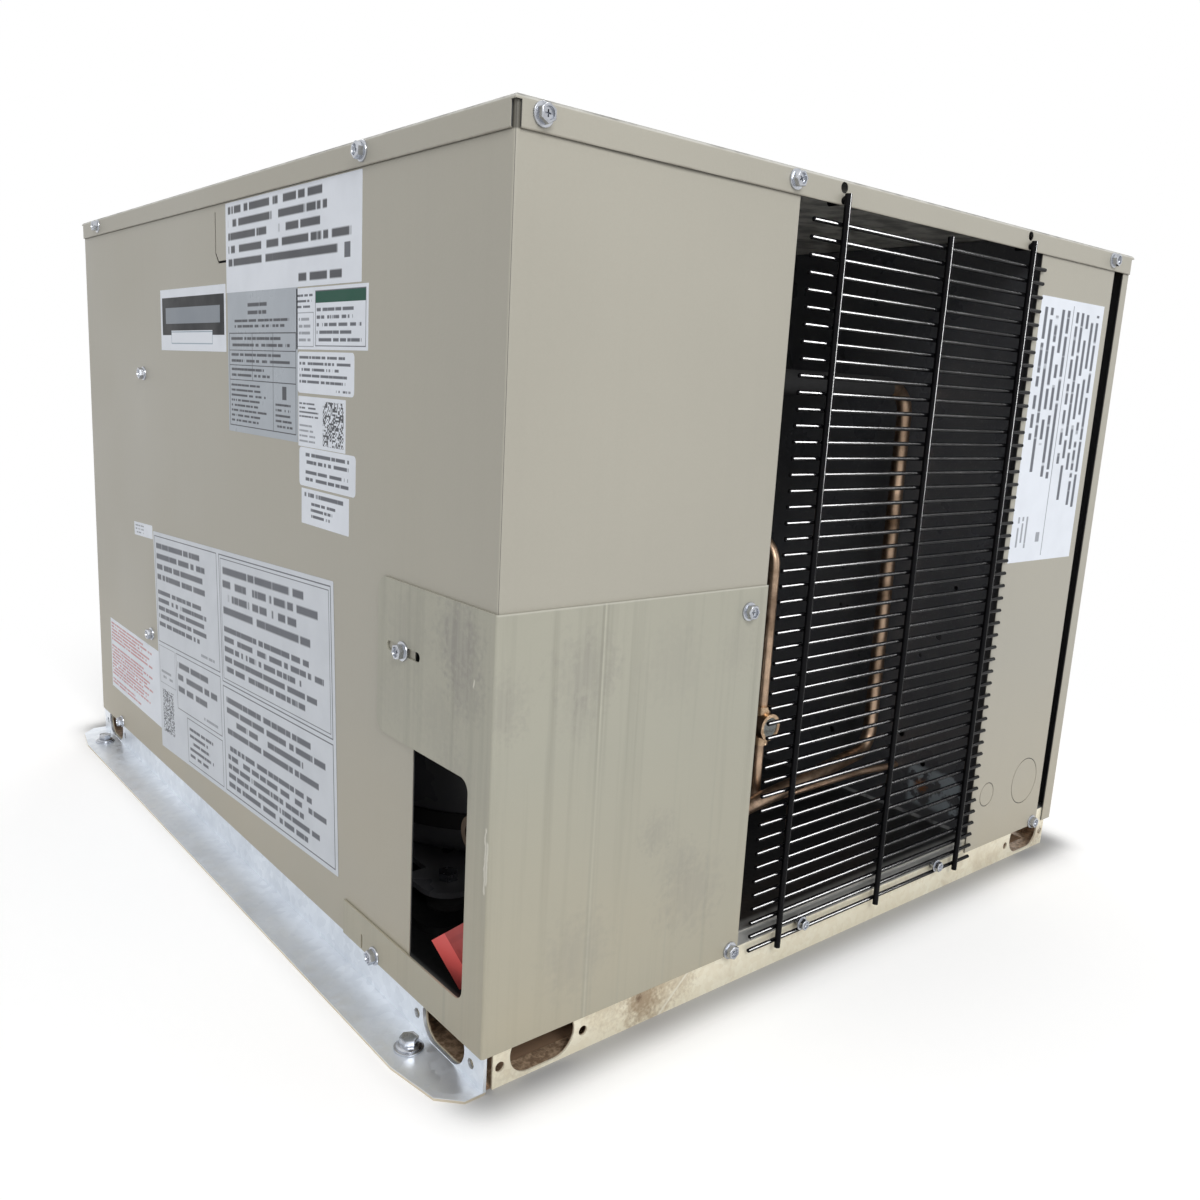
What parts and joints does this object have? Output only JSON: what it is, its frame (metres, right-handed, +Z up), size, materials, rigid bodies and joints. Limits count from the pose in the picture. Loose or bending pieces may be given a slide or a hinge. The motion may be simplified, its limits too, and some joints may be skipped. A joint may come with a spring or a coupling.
{
  "type": "refrigeration condensing unit",
  "caption": "Outdoor refrigeration condensing unit: sheet-metal casing with a wire guard, corner service cover, mounting rail, and fan, coil, compressor and controls inside.",
  "frame": {"origin": "on the floor plane, under the centre of the casing", "axes": "+Z up; the guard's face looks along -Y; +X to the right when facing the guard, so the line opening is on the -X side"},
  "size_m": [0.6915, 0.7928, 0.546],
  "materials": {
    "taupe_paint": "satin, slightly textured",
    "cover_paint": "satin with faint upright streaks",
    "galvanised": "dull galvanised",
    "bright_galvanised": "spangled galvanised",
    "plated_screw": "bright zinc plate",
    "black_wire": "gloss black coating",
    "black_sheet": "gloss black",
    "black_shell": "gloss black",
    "grey_motor": "satin grey",
    "copper": "bright drawn copper",
    "brass": "machined brass",
    "aluminium_blade": "mill",
    "aluminium_fin": "thin pleated fins",
    "steel_shaft": "ground",
    "rubber": "matt",
    "foam": "soft closed-cell foam",
    "black_plastic": "moulded",
    "can_metal": "drawn can",
    "grey_plastic": "moulded",
    "red_plastic": "moulded",
    "sight_window": "clear"
  },
  "bodies": {
    "unit": {"base_pan": "galvanised", "mounting_rail": "bright_galvanised", "rail_bolts": "plated_screw", "left_panel": "taupe_paint", "right_panel": "taupe_paint", "corner_cover": "cover_paint", "control_cover": "taupe_paint", "top_cover": "taupe_paint", "wire_guard": "black_wire", "control_partition": "black_sheet", "top_cover_screws": "plated_screw", "side_panel_screws": "plated_screw", "foot_screws": "plated_screw", "corner_cover_screws": "plated_screw", "guard_screws": "plated_screw", "fan_bulkhead": "black_sheet", "fan_ring": "black_sheet", "fan_motor": "grey_motor", "motor_stand": "bright_galvanised", "motor_strap": "bright_galvanised", "strap_screws": "plated_screw", "coil_fins": "aluminium_fin", "coil_plate_left": "bright_galvanised", "coil_plate_right": "bright_galvanised", "coil_bends": "copper", "compressor_shell": "black_shell", "compressor_feet": "black_shell", "compressor_grommets": "rubber", "compressor_bolts": "plated_screw", "terminal_cover": "black_plastic", "crankcase_heater": "rubber", "receiver": "black_shell", "receiver_stand": "black_shell", "receiver_valve": "brass", "receiver_line": "copper", "filter_drier": "copper", "liquid_line": "copper", "sight_glass": "brass", "sight_glass_window": "sight_window", "liquid_tail": "copper", "pressure_tube": "copper", "suction_line": "copper", "suction_foam": "foam", "discharge_line": "copper", "condensate_line": "copper", "valve_bracket": "bright_galvanised", "suction_valve": "brass", "liquid_valve": "brass", "contactor_base": "black_plastic", "run_capacitor": "can_metal", "capacitor_strap": "bright_galvanised", "terminal_block": "black_plastic", "pressure_control": "grey_plastic"},
    "fan_rotor": {"fan_blades": "aluminium_blade", "motor_shaft": "steel_shaft"},
    "contactor_armature": {"contactor_armature": "grey_plastic"},
    "reset_button": {"reset_button": "red_plastic"},
    "suction_stem": {"suction_valve_stem": "steel_shaft"},
    "liquid_stem": {"liquid_valve_stem": "steel_shaft"}
  },
  "joints": [
    {"name": "fan_spin", "type": "hinge", "parent": "unit", "child": "fan_rotor", "pos_m": [0, 0.179, 0.29], "axis": [0, 1, 0], "continuous": true},
    {"name": "contactor_pull_in", "type": "slide", "parent": "unit", "child": "contactor_armature", "axis": [-1, 0, 0], "range_m": [0, 0.004], "stiffness_N_per_m": 400, "springref_m": -0.002},
    {"name": "reset_press", "type": "slide", "parent": "unit", "child": "reset_button", "axis": [-1, 0, 0], "range_m": [0, 0.003], "stiffness_N_per_m": 500, "springref_m": -0.002},
    {"name": "suction_stem_turn", "type": "hinge", "parent": "unit", "child": "suction_stem", "pos_m": [-0.286, -0.342, 0.162], "axis": [0, 0, 1], "range_deg": [0, 90]},
    {"name": "liquid_stem_turn", "type": "hinge", "parent": "unit", "child": "liquid_stem", "pos_m": [-0.286, -0.342, 0.092], "axis": [0, 0, 1], "range_deg": [0, 90]}
  ]
}
